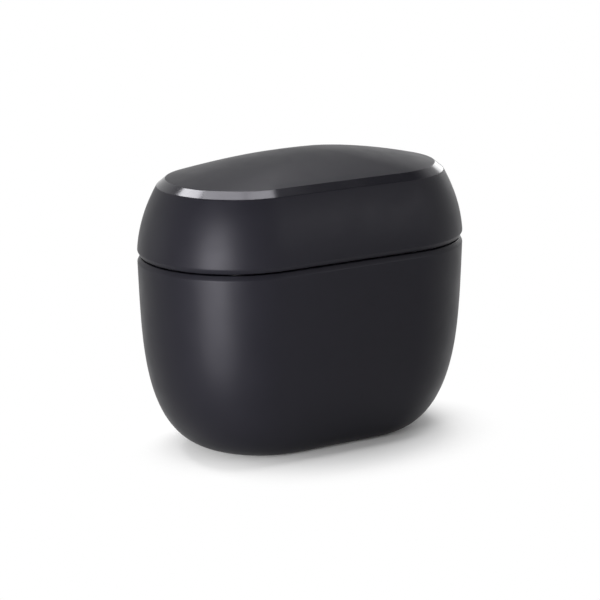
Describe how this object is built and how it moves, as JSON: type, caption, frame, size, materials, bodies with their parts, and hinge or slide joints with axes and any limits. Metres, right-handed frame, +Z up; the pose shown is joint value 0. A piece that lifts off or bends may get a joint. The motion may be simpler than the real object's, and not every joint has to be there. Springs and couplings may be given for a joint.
{
  "type": "hearing aid charger case",
  "caption": "Oval pocket charger case with a hinged domed lid over deep wells and side bowls for behind-the-ear hearing aids, a status button and a charging socket in the back.",
  "frame": {"origin": "middle of the rubber sole's underside, on the table", "axes": "+Z up, -Y towards the front, +X along the length to the right seen from the front"},
  "size_m": [0.084, 0.0478, 0.0707],
  "materials": {
    "case_base": "fine satin charcoal moulding",
    "case_lid": "fine satin charcoal moulding with a polished bevel",
    "inner_plastic": "fine matt black moulding",
    "well_plastic": "polished black moulding",
    "rubber": "matt",
    "soft_pad": "matt silicone",
    "button": "satin",
    "marker_blue": "gloss",
    "marker_red": "gloss",
    "light_pipe": "clear, polished ends",
    "steel": "brushed",
    "screw_steel": "zinc plated",
    "board": "green solder mask",
    "chip": "black epoxy",
    "led": "clear epoxy",
    "copper": "enamelled copper",
    "ferrite": "sintered",
    "frame_plastic": "glass-filled nylon",
    "battery": "foil pouch",
    "adhesive": "foam tape",
    "lead": "soft sleeve",
    "plug": "nylon",
    "flat_cable": "polyimide film",
    "magnet": "nickel plated",
    "contact_plastic": "black"
  },
  "bodies": {
    "base": {"base_shell": "case_base", "foot_pad": "rubber", "deck": "inner_plastic", "well_left": "well_plastic", "well_right": "well_plastic", "coil_left": "copper", "coil_right": "copper", "coil_leads": "copper", "ferrite_left": "ferrite", "ferrite_right": "ferrite", "tact_switch": "chip", "light_pipe_left": "light_pipe", "light_pipe_middle": "light_pipe", "light_pipe_right": "light_pipe", "panel_leds": "led", "marker_left": "marker_blue", "marker_right": "marker_red", "panel_board": "board", "panel_screws": "screw_steel", "panel_cable": "flat_cable", "cable_sockets": "plug", "chassis": "frame_plastic", "main_board": "board", "board_chips": "chip", "usb_port": "steel", "usb_tongue": "contact_plastic", "battery": "battery", "battery_pad": "adhesive", "battery_lead": "lead", "battery_plug": "plug", "base_hinge": "steel", "hinge_pin": "steel", "base_magnets": "magnet", "rim_bumpers": "soft_pad", "bottom_screws": "screw_steel", "deck_screws": "screw_steel", "board_screws": "screw_steel", "base_hinge_screws": "screw_steel"},
    "lid": {"lid_shell": "case_lid", "lid_hinge": "steel", "lid_hinge_screws": "screw_steel", "lid_liner": "inner_plastic", "lid_pad_left": "soft_pad", "lid_pad_right": "soft_pad", "lid_magnets": "magnet"},
    "button": {"status_button": "button"}
  },
  "joints": [
    {"name": "lid_hinge_joint", "type": "hinge", "parent": "base", "child": "lid", "pos_m": [0, 0.0227, 0.04727], "axis": [-1, 0, 0], "range_deg": [0, 105]},
    {"name": "status_button_press", "type": "slide", "parent": "base", "child": "button", "axis": [0, 0, -1], "range_m": [0, 0.0005], "stiffness_N_per_m": 4000}
  ]
}
